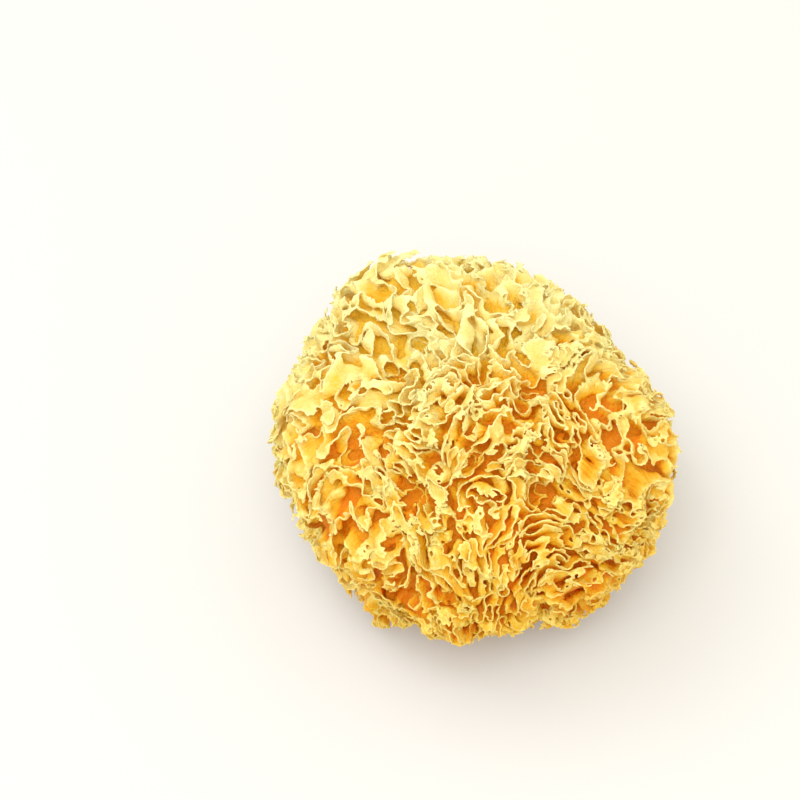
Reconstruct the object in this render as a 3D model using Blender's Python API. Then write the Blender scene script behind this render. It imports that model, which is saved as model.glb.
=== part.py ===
"""One dried snow fungus head: a lobed dome of ruffled fronds, grown as one piece and cut off flat at its heel.

Metres, +Z up. The origin is the centre of the flat cut, which the head rests on. The front is -Y. Azimuth is counted
in degrees from +X towards +Y, so the front is at -90, and elevation from the waist's plane upwards.
"""

import math

import bpy
import numpy as np

NODE_NAME = "snow_fungus_head"

# The head's envelope, which the frond tips reach. Its angles are seen from the middle of the waist.
HEAD_WIDTH = 0.126
HEAD_DEPTH = 0.124
WAIST_HEIGHT = 0.038
CROWN_RISE = 0.0475
BELLY_DROP = 0.0485
VALLEY_DEPTH = 0.0065
MEAN_LOBE_HEIGHT = 0.75

# Lobes: azimuth, elevation, spread in degrees, and rise.
LOBES = (
    (125, 30, 23, 1.85),
    (78, 46, 26, 1.10),
    (22, 44, 22, 0.60),
    (-12, 20, 22, 1.15),
    (180, 28, 25, 1.00),
    (-100, 66, 26, 0.90),
    (-40, 50, 20, 0.85),
    (-48, 12, 24, 1.00),
    (-80, 25, 19, 0.80),
    (-122, 18, 23, 1.00),
    (-152, 22, 20, 0.90),
    (-98, -4, 22, 1.00),
    (-123, -26, 13, 1.10),
    (-52, -24, 18, 1.05),
    (20, 2, 24, 0.50),
    (55, 8, 25, 0.60),
    (95, 6, 24, 0.95),
    (135, 2, 25, 1.00),
    (172, -4, 22, 0.85),
    (-150, -8, 24, 0.30),
    (-20, -14, 24, 0.80),
    (75, -18, 26, 0.75),
)

# Where the head is flatter: azimuth, elevation, spread in degrees, and how far.
FLATS = (
    (33, 18, 26, 0.0070),
    (-8, -6, 12, 0.0040),
)

# Open hollows between the fronds: azimuth, elevation, spread in degrees, and depth.
HOLLOWS = (
    (-60, 40, 5.0, 0.009),
    (175, 56, 5.0, 0.008),
    (-129, 86, 6.0, 0.008),
    (-16, 68, 6.0, 0.008),
    (-13, 51, 5.0, 0.007),
    (-151, 34, 4.5, 0.008),
    (-112, 6, 4.5, 0.007),
)

# The fronds are crests with pockets between them. Their pitch is measured at the tips.
FROND_PITCH = 0.0165
FROND_DEPTH = 0.0085
FROND_SEED = 7
CREST_HALF_WIDTH = 0.16
GROOVE_HALF_WIDTH = 0.95
TIP_DROP = 0.0008
TIP_UNEVENNESS = 0.0014
TIP_PITCH = 0.011
TIP_SEED = 21
WAVES = 36

# The heel, where the fronds join and the head was cut from its log.
HEEL_RADIUS = 0.020
HEEL_FADE = 0.011

SPHERE_SUBDIVISIONS = 7
TRIANGLE_TARGET = 9400
CUTTER_SIZE = 0.4

FUNGUS_COLOUR = (0.93, 0.70, 0.28, 1.0)
FUNGUS_ROUGHNESS = 0.75


def clear_scene():
    for old in list(bpy.data.objects):
        bpy.data.objects.remove(old)


def new_collection(name):
    collection = bpy.data.collections.new(name)
    bpy.context.scene.collection.children.link(collection)
    return collection


def move_to(collection, piece):
    for other in piece.users_collection:
        other.objects.unlink(piece)
    collection.objects.link(piece)


def smooth_step(low, high, value):
    """0 below low, 1 above high, and an S-curve between."""
    share = np.clip((value - low) / (high - low), 0.0, 1.0)
    return share * share * (3.0 - 2.0 * share)


def unit(vectors):
    return vectors / np.linalg.norm(vectors, axis=1, keepdims=True)


def direction(azimuth, elevation):
    """A unit vector from two angles in degrees."""
    turn, rise = math.radians(azimuth), math.radians(elevation)
    return np.array((math.cos(turn) * math.cos(rise), math.sin(turn) * math.cos(rise), math.sin(rise)))


def bump(directions, azimuth, elevation, spread):
    """1 in one direction, and smoothly less the further a direction is from it. The spread is in degrees."""
    angle = np.degrees(np.arccos(np.clip(directions @ direction(azimuth, elevation), -1.0, 1.0)))
    return np.exp(-((angle / spread) ** 2))


def ripple(points, pitch, seed):
    """A smooth field of mean 0 and spread 1. Its zero lines wind about as often as once in half a pitch."""
    generator = np.random.default_rng(seed)
    axes = unit(generator.normal(size=(WAVES, 3))) * (2.0 * math.pi / pitch)
    phases = generator.uniform(0.0, 2.0 * math.pi, WAVES)
    total = np.zeros(len(points))
    for axis, phase in zip(axes, phases):
        total += np.cos(points @ axis + phase)
    return total * math.sqrt(2.0 / WAVES)


def lobe_height(directions):
    """How high the lobes stand in each direction: 0 in a valley between lobes, about 1 on a lobe."""
    height = np.zeros(len(directions))
    for azimuth, elevation, spread, rise in LOBES:
        height = np.maximum(height, rise * bump(directions, azimuth, elevation, spread))
    return height


def envelope_reach(directions):
    """The distance from the middle of the waist to the frond tips, in each direction."""
    vertical = np.where(directions[:, 2] > 0.0, CROWN_RISE, BELLY_DROP)
    level = np.hypot(directions[:, 0] / (HEAD_WIDTH / 2), directions[:, 1] / (HEAD_DEPTH / 2))
    plain = 1.0 / np.hypot(level, directions[:, 2] / vertical)
    reach = plain + VALLEY_DEPTH * (lobe_height(directions) - MEAN_LOBE_HEIGHT)
    for azimuth, elevation, spread, flat in FLATS:
        reach -= flat * bump(directions, azimuth, elevation, spread)
    return reach


def frond_depth(tips):
    """How far the surface lies below the envelope: least on a frond's crest and most in the pockets and hollows."""
    pocket = smooth_step(CREST_HALF_WIDTH, GROOVE_HALF_WIDTH, np.abs(ripple(tips, FROND_PITCH, FROND_SEED)))
    depth = TIP_DROP + FROND_DEPTH * pocket + TIP_UNEVENNESS * ripple(tips, TIP_PITCH, TIP_SEED)
    directions = unit(tips - np.array((0.0, 0.0, WAIST_HEIGHT)))
    for azimuth, elevation, spread, down in HOLLOWS:
        depth = np.maximum(depth, down * bump(directions, azimuth, elevation, spread))
    return depth


def head_points(directions):
    """Points of the head's surface, with the waist's middle on the Z axis at WAIST_HEIGHT."""
    waist = np.array((0.0, 0.0, WAIST_HEIGHT))
    reach = envelope_reach(directions)
    tips = waist + directions * reach[:, None]
    off_axis = np.hypot(tips[:, 0], tips[:, 1])
    near_heel = tips[:, 2] < WAIST_HEIGHT
    ruffled = np.where(near_heel, smooth_step(HEEL_RADIUS, HEEL_RADIUS + HEEL_FADE, off_axis), 1.0)
    return waist + directions * (reach - ruffled * frond_depth(tips))[:, None]


def make_ruffled_dome(collection):
    """A fine sphere whose points are moved to the ruffled surface, thinned out to the triangle target."""
    bpy.ops.mesh.primitive_ico_sphere_add(subdivisions=SPHERE_SUBDIVISIONS, radius=1.0)
    dome = bpy.context.object
    dome.name = NODE_NAME
    directions = np.empty(len(dome.data.vertices) * 3)
    dome.data.vertices.foreach_get("co", directions)
    points = head_points(unit(directions.reshape(-1, 3)))
    dome.data.vertices.foreach_set("co", points.ravel())
    dome.data.shade_smooth()
    move_to(collection, dome)
    thinning = dome.modifiers.new("thin_out", "DECIMATE")
    thinning.ratio = TRIANGLE_TARGET / len(dome.data.polygons)
    return dome


def cut_heel(dome, collection):
    """Cuts the head off flat at z = 0."""
    bpy.ops.mesh.primitive_cube_add(size=CUTTER_SIZE, location=(0.0, 0.0, -CUTTER_SIZE / 2))
    block = bpy.context.object
    block.name = "heel_cutter"
    block.hide_render = True
    block.display_type = "WIRE"
    move_to(collection, block)
    cut = dome.modifiers.new("flat_cut", "BOOLEAN")
    cut.operation = "DIFFERENCE"
    cut.object = block


def paint(dome):
    material = bpy.data.materials.new("dried_fungus")
    material.use_nodes = True
    shader = material.node_tree.nodes["Principled BSDF"]
    shader.inputs["Base Color"].default_value = FUNGUS_COLOUR
    shader.inputs["Roughness"].default_value = FUNGUS_ROUGHNESS
    shader.inputs["Metallic"].default_value = 0.0
    dome.data.materials.append(material)


def main():
    clear_scene()
    parts = new_collection("dried_snow_fungus")
    cutters = new_collection("cutters")
    dome = make_ruffled_dome(parts)
    cut_heel(dome, cutters)
    paint(dome)


main()
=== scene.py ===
"""The looks of one dried snow fungus head: thin curled fronds, pale at their rims and amber in their pockets.

The fronds are the zero level of smooth noise. The noise is read where a line from a lobe's growth point
leaves the head, so each frond runs inwards from its rim. The level is meshed on a lattice, cut off at an
uneven height, ruffled and given a thickness. Metres, +Z up, with the flat cut at z = 0 and the front at -Y.
"""

import math

import bpy
import numpy as np
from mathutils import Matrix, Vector


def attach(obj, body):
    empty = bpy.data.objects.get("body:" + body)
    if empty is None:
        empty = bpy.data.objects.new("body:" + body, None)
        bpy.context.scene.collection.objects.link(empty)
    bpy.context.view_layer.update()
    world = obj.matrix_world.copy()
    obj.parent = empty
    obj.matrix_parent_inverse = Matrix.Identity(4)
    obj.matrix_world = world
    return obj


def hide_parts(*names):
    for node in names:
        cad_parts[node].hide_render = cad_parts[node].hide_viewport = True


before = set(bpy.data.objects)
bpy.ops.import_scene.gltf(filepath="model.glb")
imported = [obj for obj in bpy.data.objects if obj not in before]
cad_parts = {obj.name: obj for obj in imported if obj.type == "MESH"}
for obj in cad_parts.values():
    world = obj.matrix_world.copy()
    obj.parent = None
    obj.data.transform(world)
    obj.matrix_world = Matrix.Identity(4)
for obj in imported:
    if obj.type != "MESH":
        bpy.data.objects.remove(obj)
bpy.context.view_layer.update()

CAD_NODE = "snow_fungus_head"

# The head's envelope, which the frond tips reach.
HEAD_WIDTH = 0.126
HEAD_DEPTH = 0.124
WAIST = np.array((0.0, 0.0, 0.038))
CROWN_RISE = 0.0475
BELLY_DROP = 0.0485
VALLEY_DEPTH = 0.0065
MEAN_LOBE_HEIGHT = 0.75

# Lobes as azimuth and elevation in degrees, seen from the middle of the waist, spread in degrees, rise, and
# how broad the fronds are: 0 for fine ruffles and 1 for smooth folds. The front is at azimuth -90.
LOBES = (
    (125, 30, 23, 1.85, 0.9),
    (78, 46, 26, 1.10, 0.8),
    (22, 44, 22, 0.60, 0.5),
    (-12, 20, 22, 1.15, 0.7),
    (180, 28, 25, 1.00, 0.9),
    (-100, 66, 26, 0.90, 0.2),
    (-40, 50, 20, 0.85, 0.2),
    (-48, 12, 24, 1.00, 0.0),
    (-80, 25, 19, 0.80, 0.0),
    (-122, 18, 23, 1.00, 0.4),
    (-152, 22, 20, 0.90, 0.6),
    (-98, -4, 22, 1.00, 0.3),
    (-123, -26, 13, 1.10, 0.9),
    (-52, -24, 18, 1.05, 0.1),
    (20, 2, 24, 0.50, 0.2),
    (55, 8, 25, 0.60, 0.5),
    (95, 6, 24, 0.95, 0.4),
    (135, 2, 25, 1.00, 0.6),
    (172, -4, 22, 0.85, 0.4),
    (-150, -8, 24, 0.30, 0.3),
    (-20, -14, 24, 0.80, 0.2),
    (75, -18, 26, 0.75, 0.4),
)

# How sharply the fronds change from one lobe to the next.
LOBE_EDGE = 1.8

# Where the head is flatter: azimuth, elevation and spread in degrees, and how far.
FLATS = (
    (33, 18, 26, 0.0070),
    (-8, -6, 12, 0.0040),
)

# Each lobe's fronds fan out from a point this far from its top. Broad fronds lean outwards by this many
# degrees.
GROWTH_DEPTH = 0.030
LEAN_OUT = 62.0

# Open hollows between the fronds: azimuth, elevation and spread in degrees, and how far down they go.
HOLLOWS = (
    (-63, 38, 4.0, 0.009),
    (175, 56, 5.0, 0.008),
    (-129, 86, 6.0, 0.008),
    (-16, 68, 6.0, 0.008),
    (-13, 51, 4.0, 0.003),
    (-151, 34, 4.5, 0.008),
    (-112, 6, 4.5, 0.007),
    (-94, 52, 4.0, 0.007),
    (-119, 38, 4.0, 0.006),
)

# How many plane waves make up each kind of noise. More of them make it less regular.
FROND_WAVES = 36
SHIFT_WAVES = 20
FOLD_WAVES = 24
RIM_WAVES = 24
CREASE_WAVES = 30

# These bring creased noise to mean 0 and spread 1, and say how often folded noise folds over.
CREASE_MEAN = 0.8
CREASE_SCALE = 1.66
FOLD_TURNS = 1.6

# The fronds' winding, measured at their rims: the pitch of broad and of fine fronds.
BROAD_PITCH = 0.0096
BROAD_SEED = 31
FINE_PITCH = 0.0060
FINE_SEED = 41

# What pushes the winding sideways: the fronds' lean, most at the tips, and wrinkles all the way down.
LEAN = 0.0045
LEAN_PITCH = 0.044
LEAN_REACH = 0.016
LEAN_SEED = 100
WRINKLE = 0.0008
WRINKLE_PITCH = 0.010
WRINKLE_SEED = 110

# The fronds curl over sideways near their rims, and roll over sharply at the rims themselves.
CURL = 0.0030
CURL_PITCH = 0.036
CURL_REACH = 0.006
CURL_SEED = 120
FINE_ROLL = 0.0013
BROAD_ROLL = 0.0020
ROLL_PITCH = 0.020
ROLL_REACH = 0.0036
ROLL_LIMIT = 1.3
ROLL_SEED = 140

# Uneven height of the rims, from tall and short fronds down to the teeth along a rim, which are smaller on
# broad fronds.
RIM_DROP = 0.0022
RIM_WAVE = 0.0016
RIM_WAVE_PITCH = 0.0095
RIM_WAVE_SEED = 201
TOOTH = 0.0006
TOOTH_PITCH = 0.0027
TOOTH_SEED = 202
BROAD_TOOTH_LOSS = 0.6

# Sideways ruffles of the rims, as strength and pitch, and how far down they reach.
FLUTES = ((0.0003, 0.0066), (0.00012, 0.0028))
FLUTE_REACH = 0.0045
FLUTE_SEED = 303

# The thick base that the fronds grow from, below the pockets. It rises where it meets a frond, so that each
# pocket's floor is a bowl.
BASE_DEPTH = 0.0080
BASE_SUBDIVISIONS = 7
LEAST_BASE_DEPTH = 0.0008
BOWL_RISE = 0.0016
BOWL_WIDTH = 0.40
BROAD_BASE_RISE = 0.0018
HOLLOW_BASE_SPREAD = 1.4
HOLLOW_BASE_SHARE = 0.4
ROOT_OVERLAP = 0.0012
HEEL_RADIUS = 0.020
HEEL_FADE = 0.011

# The fronds' thickness. It is less where a sheet is folded sharply, so that its two sides stay apart.
RIM_THICKNESS = 0.00032
ROOT_THICKNESS = 0.00060
FOLD_THICKNESS_SHARE = 0.25
FOLDED_BELOW = 0.70
FLAT_ABOVE = 0.95

# The lattice, how far outside the tips and below the base it is worked out, and how many points at a time.
LATTICE_STEP = 0.00058
LATTICE_MARGIN = 0.006
LATTICE_BOTTOM = -0.001
LAYER_OUTSIDE = 0.001
LAYER_INSIDE = 0.006
CHUNK = 8192

# The sheets are cut off this far above the flat cut, and their shells stay this far above it. Smaller sheets
# than this many triangles are left out.
SHEET_BOTTOM = 0.0006
SHELL_BOTTOM = 0.0002
SMALLEST_SHEET = 900

# Thinning out of the sheets, which spares the rims, and softening of the sharpest folds.
SHEET_TRIANGLES = 356000
RIM_CARE = 4.0e-6
RIM_CARE_REACH = 0.006
CARE_LEVELS = 20
UNTANGLE_ROUNDS = 3
TANGLED_BELOW = 0.60
CLEAR_ABOVE = 0.90
SHARP_ANGLE = 60.0

# The fronds are split into a crown and sectors round it, counted from +X towards +Y.
SECTORS = ("right", "back_right", "back_left", "left", "front_left", "front_right")
SECTOR_ANGLE = 60.0
CROWN_ELEVATION = 48.0

# Painted light: the side of the head that is painted palest, as where the light falls, and how pale each part
# is painted, from the far side, which is painted amber as shade, to that side.
PAINTED_LIGHT_SIDE = np.array((-0.20, 0.60, 0.65))
PAINTED_LIGHT_STOPS = ((-0.70, -0.40, 0.20, 0.90), (-0.70, -0.25, 0.20, 1.05))


def smooth_step(low, high, value):
    """0 below low, 1 above high, and an S-curve between."""
    share = np.clip((value - low) / (high - low), 0.0, 1.0)
    return share * share * (3.0 - 2.0 * share)


def unit(vectors):
    return vectors / np.maximum(np.linalg.norm(vectors, axis=-1, keepdims=True), 1e-9)


def direction(azimuth, elevation):
    """A unit vector from two angles in degrees."""
    turn, rise = math.radians(azimuth), math.radians(elevation)
    return np.array((math.cos(turn) * math.cos(rise), math.sin(turn) * math.cos(rise), math.sin(rise)))


def degrees_from(directions, azimuth, elevation):
    return np.degrees(np.arccos(np.clip(directions @ direction(azimuth, elevation), -1.0, 1.0)))


def near(directions, azimuth, elevation, spread):
    """1 in one direction, and smoothly less the further a direction is from it. The spread is in degrees."""
    return np.exp(-(degrees_from(directions, azimuth, elevation) / spread) ** 2)


def ripple(points, pitch, seed, waves):
    """A smooth field of mean 0 and spread 1, made of plane waves of one pitch."""
    generator = np.random.default_rng(seed)
    axes = unit(generator.normal(size=(waves, 3))) * (2.0 * math.pi / pitch)
    phases = generator.uniform(0.0, 2.0 * math.pi, waves).astype(np.float32)
    turns = axes.T.astype(np.float32)
    total = np.empty(len(points))
    for start in range(0, len(points), CHUNK):
        part = points[start:start + CHUNK].astype(np.float32)
        total[start:start + CHUNK] = np.cos(part @ turns + phases).sum(axis=1)
    return total * math.sqrt(2.0 / waves)


def ripple_vector(points, pitch, seed):
    return np.column_stack([ripple(points, pitch, seed + part, SHIFT_WAVES) for part in range(3)])


def crease(points, pitch, seed):
    """Like ripple, but with sharp creases where it is lowest."""
    return (np.abs(ripple(points, pitch, seed, CREASE_WAVES)) - CREASE_MEAN) * CREASE_SCALE


def fold_vector(points, pitch, seed):
    """Like ripple_vector, but with flatter stretches between sharp folds."""
    parts = [ripple(points, pitch, seed + part, FOLD_WAVES) for part in range(3)]
    return np.column_stack([np.arcsin(np.sin(FOLD_TURNS * part)) for part in parts])


def lobe_height(directions):
    height = np.zeros(len(directions))
    for azimuth, elevation, spread, rise, _ in LOBES:
        height = np.maximum(height, rise * near(directions, azimuth, elevation, spread))
    return height


def envelope_reach(directions):
    """The distance from the middle of the waist to the frond tips, in each direction."""
    vertical = np.where(directions[:, 2] > 0.0, CROWN_RISE, BELLY_DROP)
    level = np.hypot(directions[:, 0] / (HEAD_WIDTH / 2), directions[:, 1] / (HEAD_DEPTH / 2))
    plain = 1.0 / np.hypot(level, directions[:, 2] / vertical)
    reach = plain + VALLEY_DEPTH * (lobe_height(directions) - MEAN_LOBE_HEIGHT)
    for azimuth, elevation, spread, flat in FLATS:
        reach -= flat * near(directions, azimuth, elevation, spread)
    return reach


def depth_below_tips(points):
    arms = points - WAIST
    return envelope_reach(unit(arms)) - np.linalg.norm(arms, axis=1)


def lobe_blend(directions):
    """Growth point and frond breadth in each direction, blended between the nearest lobes."""
    total = np.full(len(directions), 1e-6)
    growth = np.zeros((len(directions), 3))
    breadth = np.zeros(len(directions))
    for azimuth, elevation, spread, _, broad in LOBES:
        weight = np.exp(-LOBE_EDGE * (degrees_from(directions, azimuth, elevation) / spread) ** 2)
        middle = direction(azimuth, elevation)
        top = WAIST + middle * envelope_reach(middle[None, :])[0]
        growth += weight[:, None] * (top - direction(azimuth, elevation - LEAN_OUT * broad) * GROWTH_DEPTH)
        breadth += weight * broad
        total += weight
    return growth / total[:, None], breadth / total


def rim_height(points):
    """How far below the tips the rims lie, without teeth and hollows."""
    return RIM_DROP + RIM_WAVE * ripple(points, RIM_WAVE_PITCH, RIM_WAVE_SEED, RIM_WAVES)


def rim_drop(points):
    """How far below the tips each frond's rim lies."""
    directions = unit(points - WAIST)
    drop = rim_height(points)
    teeth = TOOTH * (1.0 - BROAD_TOOTH_LOSS * lobe_blend(directions)[1])
    drop += teeth * crease(points, TOOTH_PITCH, TOOTH_SEED)
    for azimuth, elevation, spread, down in HOLLOWS:
        drop += down * near(directions, azimuth, elevation, spread)
    return drop


def frond_rims(points, depth):
    """Where the frond that passes through each point comes out at the tips, and how broad it is."""
    growth, breadth = lobe_blend(unit(points - WAIST))
    lean = LEAN * (1.0 - smooth_step(0.0, LEAN_REACH, depth))
    curl = CURL * np.clip(1.0 - depth / CURL_REACH, 0.0, 1.0) ** 2
    near_rim = np.clip(1.0 - (depth - rim_height(points)) / ROLL_REACH, 0.0, ROLL_LIMIT)
    roll = (FINE_ROLL + (BROAD_ROLL - FINE_ROLL) * breadth) * near_rim ** 2
    rims = points + unit(points - growth) * depth[:, None]
    rims += lean[:, None] * ripple_vector(points, LEAN_PITCH, LEAN_SEED)
    rims += roll[:, None] * ripple_vector(points, ROLL_PITCH, ROLL_SEED)
    return rims + curl[:, None] * ripple_vector(points, CURL_PITCH, CURL_SEED), breadth


def frond_field(points, depth):
    """Noise whose zero level is the fronds."""
    rims, breadth = frond_rims(points, depth)
    rims += WRINKLE * fold_vector(points, WRINKLE_PITCH, WRINKLE_SEED)
    broad = ripple(rims, BROAD_PITCH, BROAD_SEED, FROND_WAVES)
    return breadth * broad + (1.0 - breadth) * ripple(rims, FINE_PITCH, FINE_SEED, FROND_WAVES)


def base_depth(directions):
    """How far the thick base lies below the frond tips. It comes out to the surface at the heel."""
    tips = WAIST + directions * envelope_reach(directions)[:, None]
    from_heel = np.hypot(tips[:, 0], tips[:, 1])
    below_waist = tips[:, 2] < WAIST[2]
    open_share = np.where(below_waist, smooth_step(HEEL_RADIUS, HEEL_RADIUS + HEEL_FADE, from_heel), 1.0)
    hollow = np.zeros(len(directions))
    for azimuth, elevation, spread, down in HOLLOWS:
        wide = near(directions, azimuth, elevation, HOLLOW_BASE_SPREAD * spread)
        hollow = np.maximum(hollow, HOLLOW_BASE_SHARE * down * wide)
    depth = BASE_DEPTH - BROAD_BASE_RISE * lobe_blend(directions)[1] + hollow
    return open_share * depth + LEAST_BASE_DEPTH


def lattice(low, high, step):
    sizes = np.ceil((high - low) / step).astype(int) + 1
    axes = [low[part] + step * np.arange(sizes[part]) for part in range(3)]
    return np.stack(np.meshgrid(*axes, indexing="ij"), axis=-1)


def surface_nets(values, known, low, step):
    """The zero level of a lattice of values as quads, one point for each cell that it passes through."""
    cells = np.array(values.shape) - 1
    positive = values > 0.0
    above = np.zeros(cells, np.int8)
    whole = np.ones(cells, bool)
    for x in (0, 1):
        for y in (0, 1):
            for z in (0, 1):
                corner = (slice(x, x + cells[0]), slice(y, y + cells[1]), slice(z, z + cells[2]))
                above += positive[corner]
                whole &= known[corner]
    crossed = (above > 0) & (above < 8) & whole
    index = np.full(cells, -1)
    places = np.argwhere(crossed)
    index[crossed] = np.arange(len(places))
    return nets_points(values, places) * step + low, nets_quads(positive, index)


def nets_points(values, places):
    """The mean of the crossings on each cell's twelve edges, in lattice units."""
    total = np.zeros((len(places), 3))
    count = np.zeros(len(places))
    for axis in range(3):
        others = [other for other in range(3) if other != axis]
        for first in (0, 1):
            for second in (0, 1):
                start = places.copy()
                start[:, others[0]] += first
                start[:, others[1]] += second
                end = start.copy()
                end[:, axis] += 1
                low, high = values[tuple(start.T)], values[tuple(end.T)]
                change = (low > 0.0) != (high > 0.0)
                crossing = start[change].astype(float)
                crossing[:, axis] += low[change] / (low[change] - high[change])
                total[change] += crossing
                count[change] += 1
    return total / count[:, None]


def nets_quads(positive, index):
    """A quad round each lattice edge that the level crosses, from the points of the four cells round it."""
    quads = []
    for axis in range(3):
        first, second = (axis + 1) % 3, (axis + 2) % 3
        lower, upper = [slice(None)] * 3, [slice(None)] * 3
        lower[axis], upper[axis] = slice(0, -1), slice(1, None)
        edges = np.argwhere(positive[tuple(lower)] != positive[tuple(upper)])
        inner = (edges[:, first] > 0) & (edges[:, second] > 0)
        inner &= edges[:, first] < positive.shape[first] - 1
        inner &= edges[:, second] < positive.shape[second] - 1
        edges = edges[inner]
        around = []
        for back_first, back_second in ((1, 1), (0, 1), (0, 0), (1, 0)):
            cell = edges.copy()
            cell[:, first] -= back_first
            cell[:, second] -= back_second
            around.append(index[tuple(cell.T)])
        quad = np.column_stack(around)
        falling = positive[tuple(edges.T)]
        quad[~falling] = quad[~falling][:, ::-1]
        quads.append(quad[(quad >= 0).all(axis=1)])
    return np.vstack(quads)


def cut_below(points, triangles, height):
    """The part of a mesh where height is at least 0, with the triangles across that line cut along it."""
    inside = height >= 0.0
    count = inside[triangles].sum(axis=1)
    mixed = triangles[(count == 1) | (count == 2)]
    one_in = inside[mixed].sum(axis=1) == 1
    odd = np.where(one_in, inside[mixed].argmax(axis=1), (~inside[mixed]).argmax(axis=1))
    mixed = np.take_along_axis(mixed, (odd[:, None] + np.arange(3)) % 3, axis=1)
    tip, left, right = mixed.T
    edges = np.vstack((np.column_stack((tip, left)), np.column_stack((tip, right))))
    edges.sort(axis=1)
    edges, place = np.unique(edges, axis=0, return_inverse=True)
    place = place.reshape(-1) + len(points)
    share = height[edges[:, 0]] / (height[edges[:, 0]] - height[edges[:, 1]])
    cuts = points[edges[:, 0]] + (points[edges[:, 1]] - points[edges[:, 0]]) * share[:, None]
    on_left, on_right = place[: len(tip)], place[len(tip):]
    small = np.column_stack((tip, on_left, on_right))[one_in]
    wide = np.column_stack((on_left, left, right))[~one_in]
    rest = np.column_stack((on_left, right, on_right))[~one_in]
    kept = np.vstack((triangles[count == 3], small, wide, rest))
    return compact(np.vstack((points, cuts)), kept)


def compact(points, triangles):
    """Drops the points that no triangle has."""
    used, triangles = np.unique(triangles, return_inverse=True)
    return points[used], triangles.reshape(-1, 3)


def drop_small_sheets(points, triangles, least):
    """Removes every connected sheet with fewer triangles than least."""
    label = np.arange(len(points))
    while True:
        lowest = np.repeat(label[triangles].min(axis=1), 3)
        new = label.copy()
        np.minimum.at(new, triangles.ravel(), lowest)
        new = new[new]
        if (new == label).all():
            break
        label = new
    sheet = label[triangles[:, 0]]
    size = np.bincount(sheet, minlength=len(points))
    return compact(points, triangles[size[sheet] >= least])


def all_edges(triangles):
    return np.vstack((triangles[:, [0, 1]], triangles[:, [1, 2]], triangles[:, [2, 0]]))


def rim_edges(triangles, count):
    """The directed edges that only one triangle has."""
    edges = all_edges(triangles)
    key = np.sort(edges, axis=1) @ np.array((count, 1))
    _, place, uses = np.unique(key, return_inverse=True, return_counts=True)
    return edges[uses[place.reshape(-1)] == 1]


def half_way(points, edges):
    """Each point moved half way to the mean of the points that its edges lead to."""
    start, end = edges.T
    count = np.maximum(np.bincount(start, minlength=len(points)), 1)
    sums = [np.bincount(start, weights=points[end, part], minlength=len(points)) for part in range(3)]
    return (points + np.column_stack(sums) / count[:, None]) / 2


def relax(points, triangles):
    """Evens out the lattice steps."""
    edges = all_edges(triangles)
    return half_way(points, np.vstack((edges, edges[:, ::-1])))


def soften(points, triangles):
    """Like relax, but a rim's points only move along with the rim, so that the sheets keep their size."""
    edges = all_edges(triangles)
    rim = rim_edges(triangles, len(points))
    on_rim = np.zeros(len(points), bool)
    on_rim[rim] = True
    edges = np.vstack((edges, edges[:, ::-1]))
    return half_way(points, np.vstack((edges[~on_rim[edges[:, 0]]], rim, rim[:, ::-1])))


def untangle(points, triangles):
    """Softens the places where a sheet is folded sharply."""
    for _ in range(UNTANGLE_ROUNDS):
        _, flatness = point_normals(points, triangles)
        sharp = 1.0 - smooth_step(TANGLED_BELOW, CLEAR_ABOVE, flatness)
        points = points + sharp[:, None] * (soften(points, triangles) - points)
    return points


def point_normals(points, triangles):
    """Each point's normal, and how far the triangles round it agree: 1 where the sheet is flat."""
    a, b, c = (points[triangles[:, corner]] for corner in range(3))
    face = np.cross(b - a, c - a)
    area = np.linalg.norm(face, axis=1)
    total = np.zeros_like(points)
    whole = np.full(len(points), 1e-12)
    for corner in range(3):
        whole += np.bincount(triangles[:, corner], weights=area, minlength=len(points))
        for part in range(3):
            total[:, part] += np.bincount(triangles[:, corner], weights=face[:, part], minlength=len(points))
    return unit(total), np.linalg.norm(total, axis=1) / whole


def flute(points, triangles, below_rim):
    """Ruffles the fronds' rims sideways."""
    normals, _ = point_normals(points, triangles)
    near_rim = 1.0 - smooth_step(0.0, FLUTE_REACH, below_rim)
    ruffle = np.zeros(len(points))
    for strength, pitch in FLUTES:
        ruffle += strength * near_rim * crease(points, pitch, FLUTE_SEED)
    return points + normals * ruffle[:, None]


def thin_out(points, triangles, below_rim, wanted):
    """Merges triangles down to the wanted count, first where the sheets are flat and far below their rims."""
    rough = add_mesh("rough_sheets", points, triangles, {})
    group = rough.vertex_groups.new(name="below_rim")
    level = np.round(smooth_step(0.0, RIM_CARE_REACH, below_rim) * CARE_LEVELS).astype(int)
    for step in range(CARE_LEVELS + 1):
        group.add(np.flatnonzero(level == step).tolist(), max(step, 1) / CARE_LEVELS, "REPLACE")
    modifier = rough.modifiers.new("thin_out", "DECIMATE")
    modifier.ratio = wanted / len(triangles)
    modifier.vertex_group = group.name
    modifier.vertex_group_factor = RIM_CARE
    mesh = rough.evaluated_get(bpy.context.evaluated_depsgraph_get()).to_mesh()
    points = np.empty(len(mesh.vertices) * 3)
    mesh.vertices.foreach_get("co", points)
    triangles = np.empty(len(mesh.loops), np.int32)
    mesh.loops.foreach_get("vertex_index", triangles)
    bpy.data.objects.remove(rough)
    return points.reshape(-1, 3), triangles.reshape(-1, 3).astype(np.int64)


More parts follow.
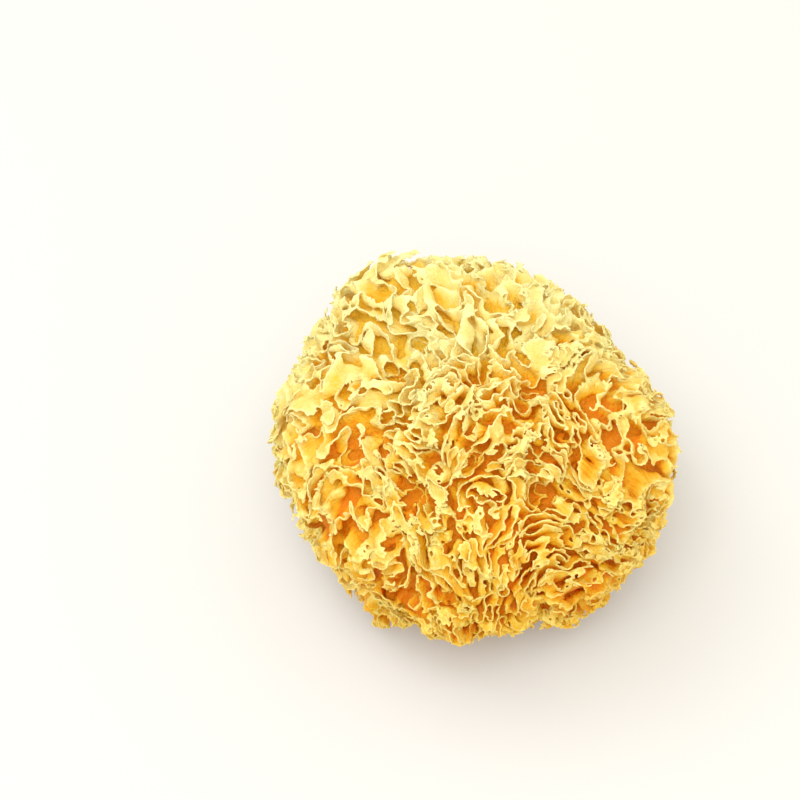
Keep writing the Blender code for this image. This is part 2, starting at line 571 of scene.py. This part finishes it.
def frond_lattice():
    """The fronds' zero level, from the base to past the tips, as points and quads."""
    low = np.array((-HEAD_WIDTH / 2 - LATTICE_MARGIN, -HEAD_DEPTH / 2 - LATTICE_MARGIN, LATTICE_BOTTOM))
    high = np.array((HEAD_WIDTH / 2, HEAD_DEPTH / 2, WAIST[2] + CROWN_RISE)) + LATTICE_MARGIN
    grid = lattice(low, high, LATTICE_STEP)
    places = grid.reshape(-1, 3)
    depth = depth_below_tips(places)
    layer = (depth > -LAYER_OUTSIDE) & (depth < BASE_DEPTH + LAYER_INSIDE)
    wanted = np.zeros(len(places), bool)
    wanted[layer] = depth[layer] < base_depth(unit(places[layer] - WAIST)) + 2 * ROOT_OVERLAP
    values = np.zeros(len(places))
    values[wanted] = frond_field(places[wanted], depth[wanted])
    shape = grid.shape[:3]
    return surface_nets(values.reshape(shape), wanted.reshape(shape), low, LATTICE_STEP)


def make_fronds():
    """The fronds as open sheets without thickness."""
    points, quads = frond_lattice()
    triangles = np.vstack((quads[:, [0, 1, 2]], quads[:, [0, 2, 3]]))
    points = relax(points, triangles)
    points, triangles = cut_below(points, triangles, depth_below_tips(points) - rim_drop(points))
    room = base_depth(unit(points - WAIST)) + ROOT_OVERLAP - depth_below_tips(points)
    points, triangles = cut_below(points, triangles, room)
    points, triangles = cut_below(points, triangles, points[:, 2] - SHEET_BOTTOM)
    points, triangles = drop_small_sheets(points, triangles, SMALLEST_SHEET)
    below_rim = depth_below_tips(points) - rim_drop(points)
    points = flute(points, triangles, below_rim)
    points, triangles = thin_out(points, triangles, below_rim, SHEET_TRIANGLES)
    return untangle(soften(points, triangles), triangles), triangles


def close_shell(points, offset, triangles):
    """A closed shell round open sheets, offset to both sides."""
    count = len(points)
    rim = rim_edges(triangles, count)
    wall = np.column_stack((rim[:, 1], rim[:, 0], rim[:, 0] + count))
    wall = np.vstack((wall, np.column_stack((rim[:, 1], rim[:, 0] + count, rim[:, 1] + count))))
    faces = np.vstack((triangles, triangles[:, ::-1] + count, wall))
    return np.vstack((points + offset, points - offset)), faces


def add_attributes(mesh, attributes):
    for key, values in attributes.items():
        if values.ndim == 2:
            data = mesh.attributes.new(key, "FLOAT_VECTOR", "POINT").data
            data.foreach_set("vector", values.astype(np.float32).ravel())
        else:
            mesh.attributes.new(key, "FLOAT", "POINT").data.foreach_set("value", values.astype(np.float32))


def surface_values(points, below_rim, below_tips):
    """What the material reads at each point. The grain is the same all along a frond's growth."""
    directions = unit(points - WAIST)
    grain, _ = frond_rims(points, below_tips)
    # Painted light: paler towards the side that faces the light, more amber on the far side and underneath.
    painted_light = np.interp(directions @ unit(PAINTED_LIGHT_SIDE), *PAINTED_LIGHT_STOPS)
    return {"below_rim": below_rim, "below_tips": below_tips, "painted_light": painted_light, "grain": grain}


def add_mesh(name, points, triangles, attributes):
    mesh = bpy.data.meshes.new(name)
    mesh.vertices.add(len(points))
    mesh.vertices.foreach_set("co", points.astype(np.float32).ravel())
    mesh.loops.add(len(triangles) * 3)
    mesh.loops.foreach_set("vertex_index", triangles.astype(np.int32).ravel())
    mesh.polygons.add(len(triangles))
    mesh.polygons.foreach_set("loop_start", np.arange(len(triangles), dtype=np.int32) * 3)
    mesh.update(calc_edges=True)
    mesh.shade_smooth()
    add_attributes(mesh, attributes)
    piece = bpy.data.objects.new(name, mesh)
    bpy.context.scene.collection.objects.link(piece)
    return piece


def sector_of(points):
    """The number of the piece that each point is in: one of the sectors, or after them the crown."""
    directions = unit(points - WAIST)
    azimuth = np.degrees(np.arctan2(directions[:, 1], directions[:, 0])) + SECTOR_ANGLE / 2
    sector = np.floor(azimuth / SECTOR_ANGLE).astype(int) % len(SECTORS)
    return np.where(directions[:, 2] > math.sin(math.radians(CROWN_ELEVATION)), len(SECTORS), sector)


def frond_thickness(below_rim, flatness):
    deep = smooth_step(0.0, BASE_DEPTH, below_rim)
    flat = smooth_step(FOLDED_BELOW, FLAT_ABOVE, flatness)
    thickness = RIM_THICKNESS + (ROOT_THICKNESS - RIM_THICKNESS) * deep
    return thickness * (FOLD_THICKNESS_SHARE + (1.0 - FOLD_THICKNESS_SHARE) * flat)


def make_frond_pieces(material):
    points, triangles = make_fronds()
    below_tips = depth_below_tips(points)
    below_rim = below_tips - rim_drop(points)
    normals, flatness = point_normals(points, triangles)
    offset = normals * (frond_thickness(below_rim, flatness) / 2)[:, None]
    sector = sector_of(points[triangles].mean(axis=1))
    pieces = []
    for number, name in enumerate(SECTORS + ("crown",)):
        used, part = np.unique(triangles[sector == number], return_inverse=True)
        shell, faces = close_shell(points[used], offset[used], part.reshape(-1, 3))
        shell[:, 2] = np.maximum(shell[:, 2], SHELL_BOTTOM)
        values = surface_values(shell, np.tile(below_rim[used], 2), np.tile(below_tips[used], 2))
        piece = add_mesh("fronds_" + name, shell, faces, values)
        piece.data.set_sharp_from_angle(angle=math.radians(SHARP_ANGLE))
        piece.data.materials.append(material)
        pieces.append(piece)
    return pieces


def make_base(material):
    """The thick base below the pockets, flat where it was cut off."""
    bpy.ops.mesh.primitive_ico_sphere_add(subdivisions=BASE_SUBDIVISIONS, radius=1.0)
    base = bpy.context.object
    base.name = "frond_base"
    directions = np.empty(len(base.data.vertices) * 3)
    base.data.vertices.foreach_get("co", directions)
    directions = unit(directions.reshape(-1, 3))
    depth = base_depth(directions)
    points = WAIST + directions * (envelope_reach(directions) - depth)[:, None]
    near_frond = np.exp(-(frond_field(points, depth) / BOWL_WIDTH) ** 2)
    points += directions * (BOWL_RISE * near_frond)[:, None]
    points[:, 2] = np.maximum(points[:, 2], 0.0)
    base.data.vertices.foreach_set("co", points.ravel())
    base.data.shade_smooth()
    below = depth_below_tips(points)
    add_attributes(base.data, surface_values(points, below, below))
    base.data.materials.append(material)
    return base


# The fungus's colours, from cream rims to the deepest pockets, each with its place from 0 to 1. The deeper
# amber is partly the fungus's own colour and partly painted shade.
SHADES = (
    (0.00, (0.98, 0.94, 0.37)),
    (0.15, (0.98, 0.90, 0.29)),
    (0.30, (0.98, 0.83, 0.20)),
    (0.44, (0.98, 0.76, 0.14)),
    (0.60, (0.98, 0.63, 0.040)),
    (0.80, (0.97, 0.46, 0.005)),
    (1.00, (0.93, 0.22, 0.001)),
)

# A rim at the tips has this place among the shades. It moves towards amber over a range of depths below the
# tips and over one below the frond's own rim, partly the fungus's own amber and partly painted shade in the
# pockets, and back towards cream at the rim's very edge, partly its own pale rim and partly a painted
# highlight.
RIM_POSITION = 0.46
TIPS_RANGE = (0.0020, 0.0094)
TIPS_SHARE = 0.42
RIM_RANGE = (0.0012, 0.0055)
RIM_SHARE = 0.34
RIM_EDGE = 0.0013
RIM_EDGE_SHIFT = 0.20

# The place also moves with painted light, towards cream on the side that faces the light and towards amber
# on the far side, and in patches, and in streaks down the fronds.
PAINTED_LIGHT_SHIFT = 0.34
PATCH_SHIFT = 0.30
PATCH_PITCH = 0.009
PATCH_DETAIL = 2.0
STREAK_SHIFT = 0.46
STREAK_PITCH = 0.0013
STREAK_DETAIL = 3.0
NOISE_ROUGHNESS = 0.6

# Fine relief and gloss of the dry skin.
GRAIN_PITCH = 0.0011
GRAIN_DETAIL = 2.0
SKIN_PITCH = 0.0016
SKIN_DETAIL = 4.0
BUMP_STRENGTH = 0.9
BUMP_DISTANCE = 0.0011
GLOSS_PITCH = 0.003
GLOSS_DETAIL = 2.0
GLOSS_NOISE = (0.3, 0.7)
SKIN_ROUGHNESS = (0.45, 0.70)
SPECULAR_LEVEL = 0.15

# The share of light that passes through, at the rim and from this far below it, and the tint that it takes.
RIM_TRANSLUCENCY = 0.20
TRANSLUCENCY = 0.42
TRANSLUCENT_FROM = 0.0014
THROUGH_TINT = (1.0, 0.84, 0.55)


def connect(tree, value, socket):
    """Sets a socket to a number, or links it to another node's output."""
    if isinstance(value, bpy.types.NodeSocket):
        tree.links.new(value, socket)
    else:
        socket.default_value = value


def sum_of(tree, first, second, times=1.0):
    """first + second * times."""
    made = tree.nodes.new("ShaderNodeMath")
    made.operation = "MULTIPLY_ADD"
    for value, socket in zip((second, times, first), made.inputs):
        connect(tree, value, socket)
    return made.outputs[0]


def rescaled(tree, value, old_range, new_range):
    """value, moved from the old range into the new one and held there."""
    made = tree.nodes.new("ShaderNodeMapRange")
    for number, socket in zip((value, *old_range, *new_range), made.inputs):
        connect(tree, number, socket)
    return made.outputs[0]


def tinted(tree, colour, tint):
    made = tree.nodes.new("ShaderNodeVectorMath")
    made.operation = "MULTIPLY"
    connect(tree, colour, made.inputs[0])
    connect(tree, tint, made.inputs[1])
    return made.outputs[0]


def attribute(tree, name, output="Fac"):
    made = tree.nodes.new("ShaderNodeAttribute")
    made.attribute_name = name
    return made.outputs[output]


def noise(tree, place, pitch, detail):
    """Noise with features about one pitch apart, about 0.5 on average."""
    made = tree.nodes.new("ShaderNodeTexNoise")
    connect(tree, place, made.inputs["Vector"])
    connect(tree, 1.0 / pitch, made.inputs["Scale"])
    connect(tree, detail, made.inputs["Detail"])
    connect(tree, NOISE_ROUGHNESS, made.inputs["Roughness"])
    return made.outputs["Fac"]


def shade_position(tree, place, grain):
    """Each point's place among the shades. Noise averages about 0.5, so its middle is taken off again."""
    below_tips, below_rim = attribute(tree, "below_tips"), attribute(tree, "below_rim")
    # Painted shade, partly the fungus's own colour: amber deeper below the tips and below each rim.
    position = rescaled(tree, below_tips, TIPS_RANGE, (RIM_POSITION, RIM_POSITION + TIPS_SHARE))
    position = sum_of(tree, position, rescaled(tree, below_rim, RIM_RANGE, (0.0, RIM_SHARE)))
    # Painted highlight, partly the fungus's own pale rim: cream at the rim's very edge.
    position = sum_of(tree, position, rescaled(tree, below_rim, (0.0, RIM_EDGE), (-RIM_EDGE_SHIFT, 0.0)))
    # Painted light and shade: cream towards the lit side, amber on the far side.
    position = sum_of(tree, position, attribute(tree, "painted_light"), -PAINTED_LIGHT_SHIFT)
    patches = noise(tree, place, PATCH_PITCH, PATCH_DETAIL)
    streaks = noise(tree, grain, STREAK_PITCH, STREAK_DETAIL)
    for value, shift in ((patches, PATCH_SHIFT), (streaks, STREAK_SHIFT)):
        position = sum_of(tree, position, value, shift)
        position = sum_of(tree, position, -0.5, shift)
    return position


def shade_colour(tree, place, grain):
    """The frond's colour, with painted light and shade: cream at its rim, then yellow, and amber in the
    pockets.
    """
    colours = tree.nodes.new("ShaderNodeValToRGB")
    elements = colours.color_ramp.elements
    while len(elements) < len(SHADES):
        elements.new(0.5)
    for element, (start, colour) in zip(elements, SHADES):
        element.position = start
        element.color = (*colour, 1.0)
    connect(tree, shade_position(tree, place, grain), colours.inputs["Fac"])
    return colours.outputs["Color"]


def crinkle(tree, place, grain):
    """Fine wrinkles that run down the frond, over a crumpled skin."""
    wrinkles = noise(tree, grain, GRAIN_PITCH, GRAIN_DETAIL)
    skin = noise(tree, place, SKIN_PITCH, SKIN_DETAIL)
    bump = tree.nodes.new("ShaderNodeBump")
    bump.inputs["Strength"].default_value = BUMP_STRENGTH
    bump.inputs["Distance"].default_value = BUMP_DISTANCE
    connect(tree, sum_of(tree, wrinkles, skin), bump.inputs["Height"])
    return bump.outputs["Normal"]


def make_fungus_material():
    material = bpy.data.materials.new("dried_fungus_frond")
    material.use_nodes = True
    tree = material.node_tree
    place = tree.nodes.new("ShaderNodeTexCoord").outputs["Object"]
    grain = attribute(tree, "grain", "Vector")
    colour = shade_colour(tree, place, grain)
    normal = crinkle(tree, place, grain)
    gloss = noise(tree, place, GLOSS_PITCH, GLOSS_DETAIL)
    shader = tree.nodes["Principled BSDF"]
    connect(tree, colour, shader.inputs["Base Color"])
    connect(tree, normal, shader.inputs["Normal"])
    connect(tree, rescaled(tree, gloss, GLOSS_NOISE, SKIN_ROUGHNESS), shader.inputs["Roughness"])
    shader.inputs["Specular IOR Level"].default_value = SPECULAR_LEVEL
    through = tree.nodes.new("ShaderNodeBsdfTranslucent")
    connect(tree, tinted(tree, colour, THROUGH_TINT), through.inputs["Color"])
    connect(tree, normal, through.inputs["Normal"])
    shares = (RIM_TRANSLUCENCY, TRANSLUCENCY)
    share = rescaled(tree, attribute(tree, "below_rim"), (0.0, TRANSLUCENT_FROM), shares)
    mixed = tree.nodes.new("ShaderNodeMixShader")
    connect(tree, share, mixed.inputs["Fac"])
    connect(tree, shader.outputs["BSDF"], mixed.inputs[1])
    connect(tree, through.outputs["BSDF"], mixed.inputs[2])
    connect(tree, mixed.outputs["Shader"], tree.nodes["Material Output"].inputs["Surface"])
    return material


# The camera looks down at the head as the photograph does. The shift places the head in the picture.
CAMERA_ELEVATION = 58.0
CAMERA_DISTANCE = 0.75
CAMERA_TARGET = Vector((-0.0230, 0.0, 0.036))
CAMERA_SHIFT = 0.0625
PICTURE_WIDTH = 0.2386
SENSOR_WIDTH = 36.0

# Soft studio light: each lamp's name, place, power in watts and size, and the sky.
LAMPS = (
    ("key_light", (-0.50, 0.25, 0.90), 3.4, 0.6),
    ("front_light", (-0.12, -0.38, 1.05), 7.0, 0.7),
)
LAMP_COLOUR = (1.0, 0.98, 0.95)
SKY_COLOUR = (1.0, 0.92, 0.72, 1.0)
SKY_STRENGTH = 1.40
FLOOR_SIZE = 6.0
FLOOR_COLOUR = (0.52, 0.53, 0.56, 1.0)
FLOOR_ROUGHNESS = 0.9
VIEW_GAMMA = 1.35


def make_camera():
    camera = bpy.data.objects.new("camera", bpy.data.cameras.new("camera"))
    bpy.context.scene.collection.objects.link(camera)
    rise = math.radians(CAMERA_ELEVATION)
    back = Vector((0.0, -math.cos(rise), math.sin(rise)))
    camera.location = CAMERA_TARGET + back * CAMERA_DISTANCE
    camera.rotation_mode = "QUATERNION"
    camera.rotation_quaternion = (-back).to_track_quat("-Z", "Y")
    camera.data.sensor_width = SENSOR_WIDTH
    camera.data.lens = SENSOR_WIDTH * CAMERA_DISTANCE / PICTURE_WIDTH
    camera.data.shift_y = CAMERA_SHIFT
    bpy.context.scene.camera = camera


def add_lamp(name, place, power, size):
    """A square lamp that faces the head."""
    light = bpy.data.lights.new(name, "AREA")
    light.energy = power
    light.size = size
    light.color = LAMP_COLOUR
    lamp = bpy.data.objects.new(name, light)
    bpy.context.scene.collection.objects.link(lamp)
    lamp.location = place
    lamp.rotation_mode = "QUATERNION"
    lamp.rotation_quaternion = (Vector(WAIST) - Vector(place)).to_track_quat("-Z", "Y")


def make_floor():
    bpy.ops.mesh.primitive_plane_add(size=FLOOR_SIZE)
    floor = bpy.context.object
    floor.name = "floor"
    material = bpy.data.materials.new("floor")
    material.use_nodes = True
    shader = material.node_tree.nodes["Principled BSDF"]
    shader.inputs["Base Color"].default_value = FLOOR_COLOUR
    shader.inputs["Roughness"].default_value = FLOOR_ROUGHNESS
    floor.data.materials.append(material)


def make_studio():
    make_floor()
    world = bpy.data.worlds.new("studio")
    world.use_nodes = True
    sky = world.node_tree.nodes["Background"]
    sky.inputs["Color"].default_value = SKY_COLOUR
    sky.inputs["Strength"].default_value = SKY_STRENGTH
    bpy.context.scene.world = world
    for lamp in LAMPS:
        add_lamp(*lamp)
    view = bpy.context.scene.view_settings
    view.view_transform = "Standard"
    view.gamma = VIEW_GAMMA


def main():
    material = make_fungus_material()
    pieces = make_frond_pieces(material) + [make_base(material)]
    for piece in pieces:
        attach(piece, "root")
        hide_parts(CAD_NODE)
    make_camera()
    make_studio()


main()
